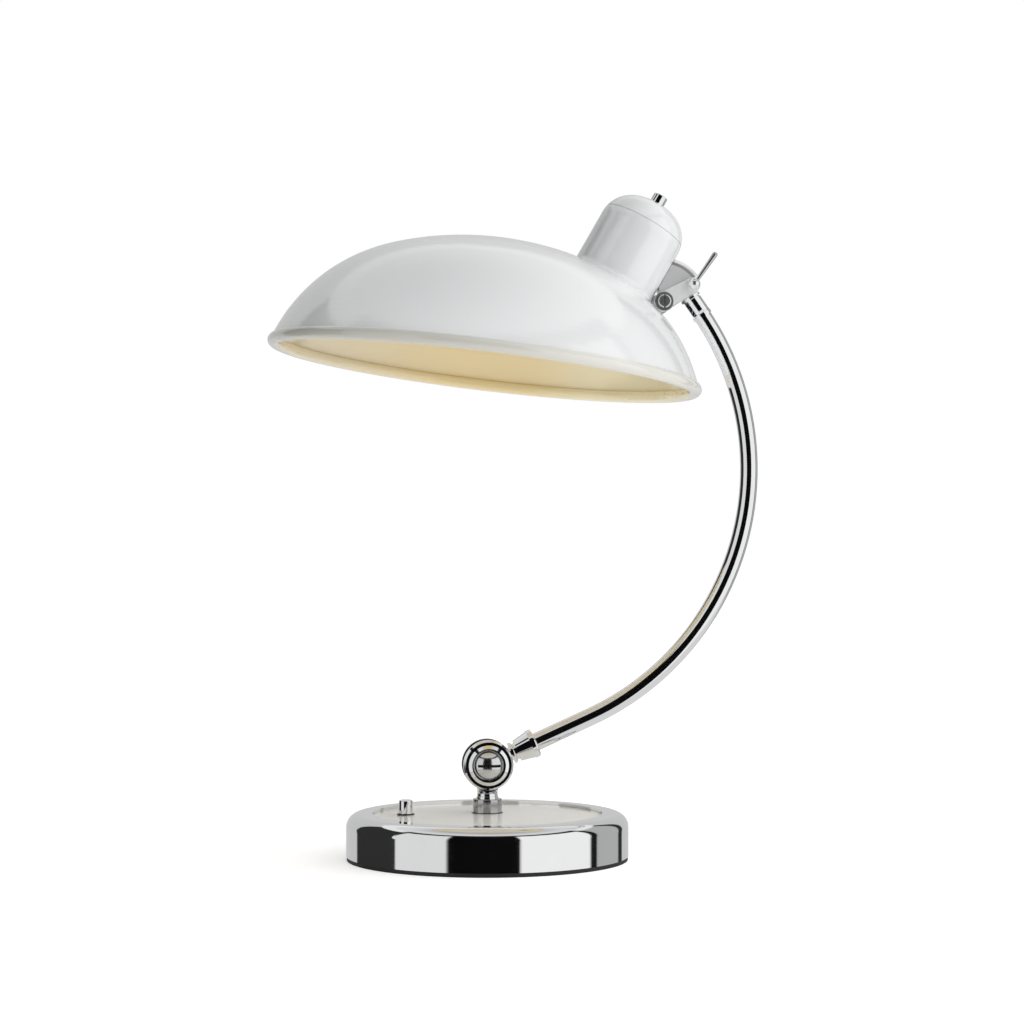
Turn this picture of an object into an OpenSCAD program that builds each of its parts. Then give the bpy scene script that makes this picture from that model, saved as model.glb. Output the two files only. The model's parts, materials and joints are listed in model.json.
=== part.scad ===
// Desk lamp with a round weighted base, a curved tube arm and a tilting dome shade.
// Millimetres, +Z up. The origin is the centre of the base's underside.
// The arm and the shade lie in the XZ plane: the arm bulges towards +X, the shade hangs over the base.

/* [Base] */
// Diameter of the base
base_d = 183; // [172:1:210]
// Height of the chrome ring above the table
base_h = 29.8; // [28:0.2:36]
// Radius of the base's upper edge
base_edge_r = 8.5; // [4:0.5:9]
// Thickness of the spun metal shell
shell_t = 1.6; // [1:0.1:2]
// Thickness of the pad under the base
pad_t = 2.6; // [1.6:0.1:3.4]
// Thickness of the bottom plate
plate_t = 1.6; // [1:0.1:2]
// Diameter of the lacquered top disc
disc_d = 148.4; // [130:0.2:150]
// Depth of the top disc's edge below the ring
disc_drop = 1.7; // [0.5:0.1:3]
// Thickness of the top disc at its edge
disc_t = 1.4; // [1:0.1:3]
// Rise of the top disc from its edge to its middle
disc_crown = 1.7; // [0.8:0.1:3]
// Width of the ledge under the top disc
ledge_w = 4.4; // [3:0.2:8]
// Height of the cast iron weight
ballast_h = 15.8; // [10:0.2:16]
// Gap between the weight and the shell's wall
ballast_gap = 1.4; // [0.5:0.1:4]
// Number of screws that hold the bottom plate
plate_screws_n = 3; // [3:1:6]
// Circle on which those screws lie
plate_screws_r = 62; // [30:1:74]

/* [Cord inlet] */
// Radius of the hole for the cord
inlet_r = 3.3; // [2.5:0.1:4.5]
// Radius of the inlet's flange
inlet_flange_r = 7.2; // [6.2:0.1:7.6]
// Height of the inlet's axis above the table
inlet_z = 12.5; // [11.5:0.5:14]
// Length of the inlet's barrel behind its flange
inlet_l = 7; // [5:0.5:12]

/* [Switch] */
// Distance from the base's axis to the push button
switch_x = 53; // [40:1:60]
// Diameter of the push button
button_d = 9; // [7:0.2:10]
// Height of the push button above its bezel
button_h = 8.7; // [6:0.1:12]
// Travel of the push button
button_travel = 2.5; // [1:0.1:3]
// Rounding of the push button's top edge
button_edge_r = 1.2; // [0.4:0.1:1.8]
// Width of the bezel's flange round the button
bezel_w = 1.2; // [0.9:0.1:2]

/* [Stem and knuckle] */
// Diameter of the collar on the base
collar_d = 19; // [17:0.5:24]
// Height of the collar's top above the table
collar_z = 39; // [36:0.5:44]
// Diameter of the lock ring above the collar
lock_ring_d = 14.2; // [13.8:0.2:16]
// Diameter of the stem at its foot
stem_d = 13.5; // [13:0.1:14]
// Diameter of the stem under the knuckle
stem_neck_d = 12.6; // [12:0.1:13]
// Height of the knuckle's axis above the table
knuckle_z = 61; // [58:0.5:70]
// Radius of the knuckle
knuckle_r = 16.2; // [15:0.2:18]
// Width of the knuckle along its axis
knuckle_w = 19; // [17:0.5:22]
// Thickness of the arm's eye inside the knuckle
eye_t = 8.9; // [8:0.1:10]
// Radius of the arm's eye
eye_r = 13; // [11.5:0.5:13.4]
// Radius of the knuckle screw's shank
knuckle_pin_r = 4; // [3:0.1:5]
// Radius of the domed screw head
knuckle_head_r = 10.2; // [8:0.1:10.6]
// Outer radius of the ring washer
knuckle_ring_r = 13; // [12:0.1:14]

/* [Arm] */
// Slope of the arm's straight end above the horizontal
arm_slope = 24.2; // [15:0.2:32]
// Distance from the knuckle's axis to the start of the bend
arm_straight = 74.4; // [50:0.2:100]
// Radius of the bend, to the tube's middle
arm_bend_r = 178.5; // [150:0.5:200]
// Slope of the tube where the bend ends
arm_end_slope = 124.8; // [115:0.2:130]
// Diameter of the arm's tube
tube_d = 11.6; // [11:0.1:12]
// Wall of the arm's tube
tube_t = 1; // [0.8:0.1:1.2]
// Distance from the knuckle's axis to the ferrule's end
ferrule_end = 34.5; // [32:0.5:45]
// Radius of the ferrule's flange
ferrule_r = 9.4; // [9.1:0.1:11]

/* [Shade joint] */
// Distance of the tilt axis from the tube's end, along the tube
joint_along = 20.4; // [19:0.2:24]
// Distance of the tilt axis from the tube's line
joint_across = 17.6; // [16.6:0.2:20]
// Radius of the tilting quadrant
quadrant_r = 30; // [27:0.5:31]
// Thickness of the quadrant
quadrant_t = 12; // [11.8:0.1:13]
// Rounding of the quadrant's outer edges
quadrant_edge_r = 5; // [1:0.1:5.6]
// Thickness of each cheek of the fork
cheek_t = 2.4; // [2:0.1:3]
// Radius of the fork's eye on the tilt axis
fork_eye_r = 6.2; // [5:0.1:6.2]
// Radius of the tilt screw's shank
tilt_pin_r = 2.5; // [2:0.1:3]
// Distance of the clamp screw from the tilt axis
clamp_r = 22.2; // [20.5:0.1:22.4]
// Direction of the clamp screw from the tilt axis
clamp_a = 30; // [28:1:34]
// Radius of the ball on the clamp screw
clamp_ball_r = 3.9; // [3.5:0.1:4.5]
// Length of the lever from the middle of its ball
lever_l = 25.4; // [18:0.2:27]
// Direction of the lever
lever_a = 55; // [40:1:60]
// Diameter of the lever at its ball
lever_root_d = 2.6; // [1.8:0.1:3]
// Diameter of the lever at its tip
lever_tip_d = 3.6; // [2.2:0.1:4]

/* [Shade] */
// Diameter over the rolled rim
shade_d = 284; // [276:1:300]
// Height of the dome above the rim
dome_h = 83.2; // [76:0.2:90]
// Radius of the dome's crown
crown_r = 207.5; // [190:0.5:230]
// Radius of the dome's shoulder
shoulder_r = 112.5; // [108:0.5:118]
// Thickness of the shade's metal
shade_t = 1.2; // [0.8:0.1:1.6]
// Radius of the rolled rim
bead_r = 4; // [3:0.1:5]
// Distance of the wall's foot outside the middle of the rolled rim
bead_step = 2.3; // [1:0.1:2.6]
// Tilt of the shade, low towards the arm
shade_tilt = 6.8; // [3:0.2:9]

/* [Neck and cap] */
// Lean of the neck from the shade's axis
neck_lean = 23; // [22:0.1:25]
// Radius of the neck
neck_r = 28.5; // [27:0.1:29]
// Height of the neck's seam above the dome
neck_h = 40; // [37:0.5:46]
// Radius of the flare at the neck's foot
flare_r = 6; // [4:0.5:7]
// Height of the cap above the seam
cap_h = 17.6; // [15:0.2:20]
// Radius of the cap's crown
cap_crown_r = 40; // [38:0.5:44]
// Radius of the cap's shoulder
cap_shoulder_r = 21; // [18:0.5:22]
// Diameter of the knob on the cap
knob_d = 9.8; // [8:0.1:12]
// Height of the knob
knob_h = 5.8; // [4:0.1:10]

/* [Lampholder and bulb] */
// Outer radius of the lampholder
holder_r = 19.5; // [18:0.1:21]
// Length of the lampholder
holder_l = 42; // [38:1:46]
// Inner radius of the lampholder's brass screw shell
screw_shell_r = 13.2; // [13.1:0.1:14]
// Radius of the bulb's globe
globe_r = 22.5; // [20:0.5:24]
// Length of the bulb from its contact to its tip
bulb_l = 78; // [72:1:84]

/* [Fits] */
// Radial clearance of a pin that turns in its bore
run_gap = 0.06; // [0.02:0.01:0.1]
// Clearance between faces that slide past each other
side_gap = 0.2; // [0.1:0.05:0.3]
// Clearance between fixed pieces that fit into each other
seat_gap = 0.1; // [0.05:0.05:0.2]

/* [Hidden] */
$fn = 96;

// Larger than any cut has to be
far = 400;

// How far inside a disc's edge a line that leaves it starts
edge_in = 0.03;

// Base, worked out from the sizes above
base_r = base_d / 2;
disc_r = disc_d / 2;
lip_r = disc_r + 2 * seat_gap;
disc_edge_z = base_h - disc_drop;
disc_under_z = disc_edge_z - disc_t;
disc_top_z = disc_edge_z + disc_crown;
disc_steps = 12;
disc_sphere_r = (disc_r * disc_r + disc_crown * disc_crown) / (2 * disc_crown);
plate_z = pad_t + plate_t;
ballast_r = base_r - shell_t - ballast_gap;
ballast_z = plate_z + ballast_h;
boss_r = 20;
pocket_r = 12.5;
channel_w = 2 * inlet_flange_r + 2;
nipple_r = 5;
nipple_bore = 3.2;
nut_t = 5;
nut_r = 9;

// Switch
button_r = button_d / 2;
bezel_bore = button_r + run_gap;
barrel_r = bezel_bore + 0.5;
bezel_r = button_r + bezel_w;
bezel_seat = disc_top_z - 1.2;
bezel_top = bezel_seat + 1.3;
barrel_z = disc_under_z - 6.7;
foot_t = 1.6;
foot_r = barrel_r - side_gap;
housing_r = 9;
housing_floor_t = 3;
spring_rest_l = 6.2;
spring_z = barrel_z - side_gap - foot_t - spring_rest_l;
housing_z = spring_z - housing_floor_t;
spring_wire = 0.8;

// Stem and knuckle
collar_seat = disc_top_z - 0.4;
collar_flange_t = 1;
ring_t = 1.7;
stem_z = collar_z + ring_t;
slot_w = eye_t + 2 * side_gap / 2;
slot_r = eye_r + 0.4;
fork_web_z = knuckle_z - slot_r;
nipple_top = fork_web_z - 2.5;
knuckle_face = knuckle_w / 2;
knuckle_edge = 1.3;
knuckle_ring_t = 2.5;
knuckle_ring_edge = 1;
knuckle_ring_bore = knuckle_head_r + 0.3;
head_rise = 6;
slot_cut_w = 1.7;
slot_cut_d = 2.6;

// Arm: the straight end leaves the knuckle, then one bend runs up to the shade joint
tube_r = tube_d / 2;
tube_bore = tube_r - tube_t;
spigot_r = tube_bore - 4 * seat_gap;
shank_r = slot_w / 2 - side_gap;
arm_u = [cos(arm_slope), sin(arm_slope)];
arm_foot = [0, knuckle_z];
bend_c = arm_foot + arm_straight * arm_u + arm_bend_r * [-arm_u[1], arm_u[0]];
tube_end = bend_c + arm_bend_r * [sin(arm_end_slope), -cos(arm_end_slope)];
end_u = [cos(arm_end_slope), sin(arm_end_slope)];
end_v = [-end_u[1], end_u[0]];
collar_start = knuckle_r + 1;
groove_start = collar_start + 2;
ferrule_start = groove_start + 2;
tube_start = ferrule_start + 4;
flange_t = 3.7;
neck_collar_r = 7;
groove_r = 5.4;
spigot_l = 12;

// Shade joint, measured from the tilt axis in the XZ plane
joint = tube_end + joint_along * end_u + joint_across * end_v;
tube_end_j = tube_end - joint;
clamp_j = clamp_r * [cos(clamp_a), sin(clamp_a)];
hub_r = 5;
slot_half = quadrant_t / 2 + side_gap;
cheek_face = slot_half + cheek_t;
lobe_r = clamp_r + 1.7;
lobe_slot_r = lobe_r + 0.3;
sector_slot_r = quadrant_r + 0.4;
sector_from = 38;
sector_to = 108;
lobe_from = 8;
tilt_up = 25;
head_spigot_l = 9;
head_collar_l = 2.6;
head_collar_t = 0.7;
neck_l = joint_along - fork_eye_r + 0.8;
neck_face = cheek_face - 0.3;
neck_bead = 0.9;
neck_bead_l = 2;
quadrant_hub_r = 5.6;
tilt_washer_t = 1.2;
tilt_head_r = 4.4;
tilt_head_h = 2.4;
clamp_boss_h = 1.6;
clamp_boss_r = 4.2;
clamp_pin_r = 2.5;
ball_y = cheek_face + clamp_boss_h + clamp_ball_r - 0.6;

// Shade, placed so that its bracket meets the tilt axis
rim_r = shade_d / 2 - bead_r;
crown_z = dome_h - crown_r;
wall_foot = [rim_r + bead_step, 0];
centres_l = norm(wall_foot - [0, crown_z]);
centres_u = (wall_foot - [0, crown_z]) / centres_l;
shoulder_along = (pow(crown_r - shoulder_r, 2) - shoulder_r * shoulder_r + centres_l * centres_l) / (2 * centres_l);
shoulder_aside = sqrt(pow(crown_r - shoulder_r, 2) - shoulder_along * shoulder_along);
shoulder_c = [0, crown_z] + shoulder_along * centres_u + shoulder_aside * [-centres_u[1], centres_u[0]];
meet_a = atan2(shoulder_c[1] - crown_z, shoulder_c[0]);
dome_steps = 24;
crown_steps = 12;
neck_foot = shoulder_c + shoulder_r * [sin(neck_lean), cos(neck_lean)];
joint_gap = 6.85;
joint_h = 2.5;
joint_in_neck = [neck_r + joint_gap, joint_h];
joint_in_shade = neck_foot + joint_in_neck[0] * [cos(neck_lean), -sin(neck_lean)]
    + joint_in_neck[1] * [sin(neck_lean), cos(neck_lean)];
shade_origin = joint - [
    joint_in_shade[0] * cos(shade_tilt) + joint_in_shade[1] * sin(shade_tilt),
    -joint_in_shade[0] * sin(shade_tilt) + joint_in_shade[1] * cos(shade_tilt)
];
neck_bore = neck_r - shade_t;
flare_drop = 5;
cap_shoulder_x = neck_r - cap_shoulder_r;
cap_gap = 0.3;
cap_centre_h = cap_h - cap_crown_r + sqrt(pow(cap_crown_r - cap_shoulder_r, 2) - pow(cap_shoulder_x, 2));
cap_skirt_l = 5;
bridge_tab_t = 1.5;
bracket_screws_z = [12, 24];
bracket_screw_r = 2;
bracket_head_r = 3.6;
bracket_head_t = 2;
bracket_screw_l = 8;
bracket_seats = [for (r = [neck_bore, neck_bore - seat_gap - bridge_tab_t])
    sqrt(r * r - bracket_head_r * bracket_head_r) - seat_gap / 2];

// Lampholder and bulb, measured along the neck
bridge_t = 2;
bridge_z = neck_h - cap_skirt_l - 3 - bridge_t;
holder_top = bridge_z;
holder_bottom = holder_top - holder_l;
holder_roof_t = 5;
holder_wall = 2.5;
shell_wall = 0.7;
shell_top = holder_top - holder_roof_t - 6;
shell_bottom = holder_bottom + 4;
bulb_tip_z = shell_top + 1.6;
bulb_cap_r = screw_shell_r - seat_gap;
bulb_cap_l = 25;
bulb_cap_z = shell_top - bulb_cap_l;
globe_z = bulb_tip_z - bulb_l + globe_r;
glass_t = 0.8;
glass_neck_r = 12.2;
knob_pin_r = 3;

// Places a piece that was drawn along +Z on the arm's straight end
module on_arm() {
    translate([0, 0, knuckle_z]) rotate([0, 90 - arm_slope, 0]) children();
}

// Places a piece that was drawn along +Z on the line of the tube's upper end
module on_tube_end() {
    translate([tube_end[0], 0, tube_end[1]]) rotate([0, 90 - arm_end_slope, 0]) children();
}

// Places a piece at the tilt axis
module at_joint() {
    translate([joint[0], 0, joint[1]]) children();
}

// Places a piece in the shade, with the rim's centre as its origin
module in_shade() {
    translate([shade_origin[0], 0, shade_origin[1]]) rotate([0, shade_tilt, 0]) children();
}

// Places a piece on the neck's axis, measured from the dome's surface
module in_neck() {
    in_shade() translate([neck_foot[0], 0, neck_foot[1]]) rotate([0, neck_lean, 0]) children();
}

// A profile drawn in the XZ plane, as thick as from one Y to the other
module plate(y0, y1) {
    translate([0, y1, 0]) rotate([90, 0, 0]) linear_extrude(y1 - y0) children();
}

// A piece drawn along +Z, turned to stand out of the XZ plane towards the front
module to_front() {
    rotate([90, 0, 0]) children();
}

// The same towards the rear
module to_rear() {
    rotate([-90, 0, 0]) children();
}

// A ring with square edges
module ring(r_out, r_in, h) {
    difference() {
        cylinder(r = r_out, h = h);
        translate([0, 0, -1]) cylinder(r = r_in, h = h + 2);
    }
}

// A disc whose top edge is rounded
module rounded_disc(r, h, edge) {
    rotate_extrude() {
        square([r - edge, h]);
        square([r, h - edge]);
        translate([r - edge, h - edge]) intersection() {
            circle(edge);
            square(edge);
        }
    }
}

// Half of a profile under two arcs that meet smoothly: a flat crown and a tighter shoulder
module two_arcs_2d(apex, crown, shoulder, x, inset) {
    crown_z = apex - crown;
    rise = sqrt(pow(crown - shoulder, 2) - x * x);
    intersection() {
        union() {
            translate([x, crown_z + rise]) circle(shoulder - inset);
            intersection() {
                translate([0, crown_z]) circle(crown - inset);
                polygon([[0, crown_z], [0, far], [far * x / rise, crown_z + far]]);
            }
        }
        translate([0, -far]) square([far, 2 * far]);
    }
}

// Two discs joined by lines that leave each of them just inside its edge
module link_2d(a, ra, b, rb) {
    d = norm(b - a);
    dir = atan2(b[1] - a[1], b[0] - a[0]);
    side = acos((ra - rb) / d);
    translate(a) circle(ra);
    translate(b) circle(rb);
    polygon([
        a + (ra - edge_in) * [cos(dir + side), sin(dir + side)],
        b + (rb - edge_in) * [cos(dir + side), sin(dir + side)],
        b + (rb - edge_in) * [cos(dir - side), sin(dir - side)],
        a + (ra - edge_in) * [cos(dir - side), sin(dir - side)]
    ]);
}

// ---- Base ----

module base_pad() {
    color("#1c1c1d") cylinder(r = base_r - 0.4, h = pad_t);
}

module bottom_plate() {
    color("#8a8c8e") translate([0, 0, pad_t]) difference() {
        cylinder(r = base_r - shell_t - seat_gap, h = plate_t);
        at_plate_screws() translate([0, 0, -1]) cylinder(r = screw_head_r + seat_gap, h = plate_t + 2);
    }
}

screw_head_r = 5;
screw_r = 2.5;
screw_l = 12;

module at_plate_screws() {
    for (i = [0:plate_screws_n - 1]) {
        rotate([0, 0, (i + 0.5) * 360 / plate_screws_n + 90]) translate([plate_screws_r, 0, 0]) children();
    }
}

module plate_screws() {
    color("#b9bbbd") at_plate_screws() translate([0, 0, pad_t]) {
        difference() {
            cylinder(r = screw_head_r, h = plate_t);
            translate([-far / 2, -0.6, -1]) cube([far, 1.2, 1.8]);
        }
        translate([0, 0, plate_t]) cylinder(r = screw_r, h = screw_l);
    }
}

module ballast() {
    color("#3c3d3f") difference() {
        union() {
            translate([0, 0, plate_z]) cylinder(r = ballast_r, h = ballast_h);
            translate([0, 0, plate_z]) cylinder(r = boss_r, h = disc_under_z - plate_z);
        }
        cylinder(r = nipple_r + seat_gap, h = far);
        translate([0, 0, plate_z - 1]) cylinder(r = nut_r + 2, h = nut_t + 3);
        translate([-switch_x, 0, 0]) cylinder(r = pocket_r, h = far);
        translate([-channel_w / 2, boss_r + 4, 0]) cube([channel_w, far, far]);
        translate([-switch_x, boss_r + 4, plate_z + ballast_h / 2])
            cube([switch_x, channel_w / 2, far]);
        at_plate_screws() cylinder(r = screw_r + seat_gap, h = plate_z + screw_l + 1);
    }
}

// Half of the shell's outline, pulled in by its wall for the inside
module shell_2d(inset) {
    r = base_r - inset;
    h = base_h - inset;
    edge = base_edge_r - inset;
    translate([0, pad_t]) square([r - edge, h - pad_t]);
    translate([0, pad_t]) square([r, h - edge - pad_t]);
    translate([r - edge, h - edge]) circle(edge);
}

module base_shell() {
    color("#d8dadc") difference() {
        rotate_extrude() difference() {
            union() {
                difference() {
                    shell_2d(0);
                    translate([0, -0.5]) shell_2d(shell_t);
                    translate([0, pad_t - 1]) square([base_r - shell_t, 2]);
                }
                translate([lip_r - ledge_w, disc_under_z - shell_t])
                    square([ledge_w + shell_t, base_h - disc_under_z + shell_t]);
            }
            translate([0, disc_under_z]) square([lip_r, far]);
            square([lip_r - ledge_w, far]);
        }
        translate([0, 0, inlet_z]) to_rear() cylinder(r = inlet_barrel_r + seat_gap, h = far);
    }
}

module top_disc() {
    lens_a = asin(disc_r / disc_sphere_r);
    lens = [for (i = [0:disc_steps]) [
        disc_sphere_r * sin(lens_a * i / disc_steps),
        disc_top_z - disc_sphere_r * (1 - cos(lens_a * i / disc_steps))
    ]];
    color("#f1f0ea") difference() {
        rotate_extrude() polygon(concat([[0, disc_under_z]], lens, [[disc_r, disc_under_z]]));
        cylinder(r = nipple_r + seat_gap, h = far);
        translate([0, 0, collar_seat]) cylinder(r = collar_d / 2 + 0.8, h = far);
        translate([-switch_x, 0, 0]) cylinder(r = barrel_r + seat_gap, h = far);
        translate([-switch_x, 0, bezel_seat]) cylinder(r = bezel_r + seat_gap, h = far);
    }
}

inlet_barrel_r = inlet_r + 2.1;
inlet_flange_t = 1.4;

module cord_inlet() {
    color("#232324") translate([0, base_r - inlet_l, inlet_z]) to_rear() difference() {
        union() {
            cylinder(r = inlet_barrel_r, h = inlet_l + 0.2);
            translate([0, 0, inlet_l + 0.2]) rounded_disc(inlet_flange_r, inlet_flange_t, 0.6);
        }
        translate([0, 0, -1]) cylinder(r = inlet_r, h = far);
    }
}

// ---- Switch ----

module at_switch() {
    translate([-switch_x, 0, 0]) children();
}

module switch_bezel() {
    color("#d8dadc") at_switch() difference() {
        union() {
            translate([0, 0, barrel_z]) cylinder(r = barrel_r, h = bezel_seat - barrel_z);
            translate([0, 0, bezel_seat]) rounded_disc(bezel_r, bezel_top - bezel_seat, 0.5);
        }
        cylinder(r = bezel_bore, h = far);
    }
}

module switch_housing() {
    color("#2b2b2c") at_switch() difference() {
        translate([0, 0, housing_z]) cylinder(r = housing_r, h = disc_under_z - housing_z);
        translate([0, 0, spring_z]) cylinder(r = barrel_r + seat_gap, h = far);
    }
}

module switch_terminals() {
    color("#c8a24a") at_switch() for (side = [-1, 1]) {
        translate([side * 4 - 0.4, -2.5, housing_z - 4.2]) difference() {
            cube([0.8, 5, 4.2]);
            translate([-1, 2.5, 2]) rotate([0, 90, 0]) cylinder(r = 0.8, h = 3);
        }
    }
}

// A coil spring as one swept tube, flat on neither end
module switch_spring() {
    turns = 4;
    steps = 14;
    sides = 6;
    coil_r = 3.4;
    rise = spring_rest_l - spring_wire - 0.2;
    n = turns * steps;
    rings = [
        for (i = [0:n]) [
            for (j = [0:sides - 1]) [
                (coil_r + spring_wire / 2 * cos(j * 360 / sides)) * cos(i * 360 / steps),
                (coil_r + spring_wire / 2 * cos(j * 360 / sides)) * sin(i * 360 / steps),
                spring_wire / 2 + 0.1 + rise * i / n + spring_wire / 2 * sin(j * 360 / sides)
            ]
        ]
    ];
    points = [for (r = rings) for (p = r) p];
    sides_faces = [
        for (i = [0:n - 1]) for (j = [0:sides - 1]) for (k = [0, 1])
            k == 0
                ? [i * sides + j, (i + 1) * sides + (j + 1) % sides, i * sides + (j + 1) % sides]
                : [i * sides + j, (i + 1) * sides + j, (i + 1) * sides + (j + 1) % sides]
    ];
    ends = [[for (j = [0:sides - 1]) j], [for (j = [sides - 1:-1:0]) n * sides + j]];
    color("#b9bbbd") at_switch() translate([0, 0, spring_z])
        polyhedron(points = points, faces = concat(sides_faces, ends));
}

module switch_button() {
    color("#d8dadc") at_switch() {
        translate([0, 0, barrel_z - side_gap]) rounded_disc(button_r, bezel_top + button_h - barrel_z + side_gap, button_edge_r);
        translate([0, 0, barrel_z - side_gap - foot_t]) cylinder(r = foot_r, h = foot_t);
    }
}

// ---- Stem and knuckle ----

module stem_collar() {
    color("#d8dadc") translate([0, 0, collar_seat]) difference() {
        union() {
            cylinder(r = collar_d / 2 + 0.6, h = collar_flange_t);
            rounded_disc(collar_d / 2, collar_z - collar_seat, 0.8);
        }
        translate([0, 0, -1]) cylinder(r = nipple_r + seat_gap, h = far);
    }
}

module stem_nipple() {
    color("#b9bbbd") translate([0, 0, plate_z + 1]) ring(nipple_r, nipple_bore, nipple_top - plate_z - 1);
}

module nipple_nut() {
    color("#b9bbbd") translate([0, 0, plate_z + 2]) difference() {
        cylinder(r = nut_r, h = nut_t, $fn = 6);
        translate([0, 0, -1]) cylinder(r = nipple_r + seat_gap, h = nut_t + 2);
    }
}

module lock_ring() {
    color("#d8dadc") translate([0, 0, collar_z]) difference() {
        rounded_disc(lock_ring_d / 2, ring_t, 0.5);
        translate([0, 0, -1]) cylinder(r = nipple_r + seat_gap, h = far);
    }
}

module stem_fork() {
    root = 3;
    rise = 2 * (knuckle_r + root);
    color("#d8dadc") difference() {
        union() {
            translate([0, 0, stem_z]) cylinder(r1 = stem_d / 2, r2 = stem_neck_d / 2, h = fork_web_z - stem_z);
            intersection() {
                translate([0, 0, knuckle_z]) fork_body();
                translate([0, 0, knuckle_z - knuckle_r - root])
                    cylinder(r1 = stem_neck_d / 2, r2 = stem_neck_d / 2 + rise, h = rise);
            }
        }
        translate([0, 0, knuckle_z]) {
            plate(-slot_w / 2, slot_w / 2) {
                circle(slot_r);
                translate([-far / 2, -knuckle_r * 0.44]) square([far, far]);
            }
            plate(-far, far) circle(knuckle_pin_r + run_gap);
        }
        cylinder(r = nipple_r + seat_gap, h = nipple_top + 0.2);
        cylinder(r = nipple_bore, h = knuckle_z);
    }
}

// The knuckle's body: a drum with turned-down edges, on a foot as wide as the stem
module fork_body() {
    for (turn = [-90, 90]) {
        rotate([turn, 0, 0]) {
            cylinder(r = knuckle_r, h = knuckle_face - knuckle_edge);
            translate([0, 0, knuckle_face - knuckle_edge])
                cylinder(r1 = knuckle_r, r2 = knuckle_r - knuckle_edge, h = knuckle_edge);
        }
    }
    plate(-knuckle_face + knuckle_edge, knuckle_face - knuckle_edge)
        translate([-stem_neck_d / 2, -knuckle_r - 3]) square([stem_neck_d, knuckle_r]);
}

module knuckle_rings() {
    color("#e4e6e8") translate([0, 0, knuckle_z]) for (turn = [-90, 90]) {
        rotate([turn, 0, 0]) translate([0, 0, knuckle_face]) rotate_extrude()
            polygon([
                [knuckle_ring_bore, 0], [knuckle_ring_r, 0], [knuckle_ring_r, knuckle_ring_edge],
                [knuckle_ring_bore + 0.4, knuckle_ring_t], [knuckle_ring_bore, knuckle_ring_t]
            ]);
    }
}

// A domed head: the cap of a sphere, cut flat at its seat
module domed_head(r, rise) {
    sphere_r = (r * r + rise * rise) / (2 * rise);
    intersection() {
        translate([0, 0, rise - sphere_r]) sphere(sphere_r);
        translate([0, 0, 0]) cylinder(r = far / 4, h = far / 4);
    }
}

module knuckle_screw() {
    color("#cfd1d3") translate([0, 0, knuckle_z]) to_front() {
        difference() {
            translate([0, 0, knuckle_face]) domed_head(knuckle_head_r, head_rise);
            translate([-far / 2, -slot_cut_w / 2, knuckle_face + head_rise - slot_cut_d])
                cube([far, slot_cut_w, far]);
        }
        translate([0, 0, -knuckle_face - 3]) cylinder(r = knuckle_pin_r, h = 2 * knuckle_face + 3);
    }
}

module knuckle_nut() {
    color("#cfd1d3") translate([0, 0, knuckle_z]) to_rear() translate([0, 0, knuckle_face]) difference() {
        domed_head(knuckle_head_r, head_rise);
        translate([0, 0, -1]) cylinder(r = knuckle_pin_r + seat_gap, h = 4.2);
    }
}

// ---- Arm ----

module arm_eye() {
    color("#d8dadc") difference() {
        union() {
            translate([0, 0, knuckle_z]) plate(-eye_t / 2, eye_t / 2) circle(eye_r);
            on_arm() {
                cylinder(r = shank_r, h = collar_start + 0.5);
                translate([0, 0, collar_start]) rounded_disc(neck_collar_r, groove_start - collar_start, 0.8);
                translate([0, 0, groove_start]) cylinder(r = groove_r, h = ferrule_start - groove_start);
                translate([0, 0, ferrule_start]) cylinder(r = spigot_r, h = spigot_l);
            }
        }
        translate([0, 0, knuckle_z]) plate(-far, far) circle(knuckle_pin_r + run_gap);
    }
}

module arm_ferrule() {
    cone_end = ferrule_end - flange_t;
    color("#d8dadc") on_arm() difference() {
        union() {
            translate([0, 0, ferrule_start])
                cylinder(r1 = 7.1, r2 = ferrule_r - 0.5, h = cone_end - ferrule_start);
            translate([0, 0, cone_end]) rounded_disc(ferrule_r, flange_t, 1.2);
        }
        translate([0, 0, ferrule_start - 1]) cylinder(r = spigot_r + seat_gap, h = far);
        translate([0, 0, tube_start]) cylinder(r = tube_r + seat_gap / 2, h = far);
    }
}

// The bend and the straight end share one frame, so their ends meet exactly
module arm_tube() {
    color("#d8dadc") translate([bend_c[0], 0, bend_c[1]]) rotate([90, 0, 0]) rotate([0, 0, arm_slope - 90]) {
        rotate_extrude(angle = arm_end_slope - arm_slope) translate([arm_bend_r, 0]) tube_2d();
        translate([arm_bend_r, 0, 0]) rotate([90, 0, 0]) linear_extrude(arm_straight - tube_start) tube_2d();
    }
}

module tube_2d() {
    difference() {
        circle(tube_r);
        circle(tube_bore);
    }
}

module head_collar() {
    color("#d8dadc") on_tube_end() translate([0, 0, -head_collar_l]) rotate_extrude()
        translate([tube_r + seat_gap / 2, 0]) square([head_collar_t, head_collar_l]);
}

// Section of the head's neck: as wide as the tube, and deep enough to reach both cheeks
module head_neck_2d(r) {
    aside = neck_face - tube_r;
    for (side = [-1, 1]) {
        translate([0, side * aside]) circle(r);
    }
    square([2 * (r - edge_in), 2 * aside], center = true);
}

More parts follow.
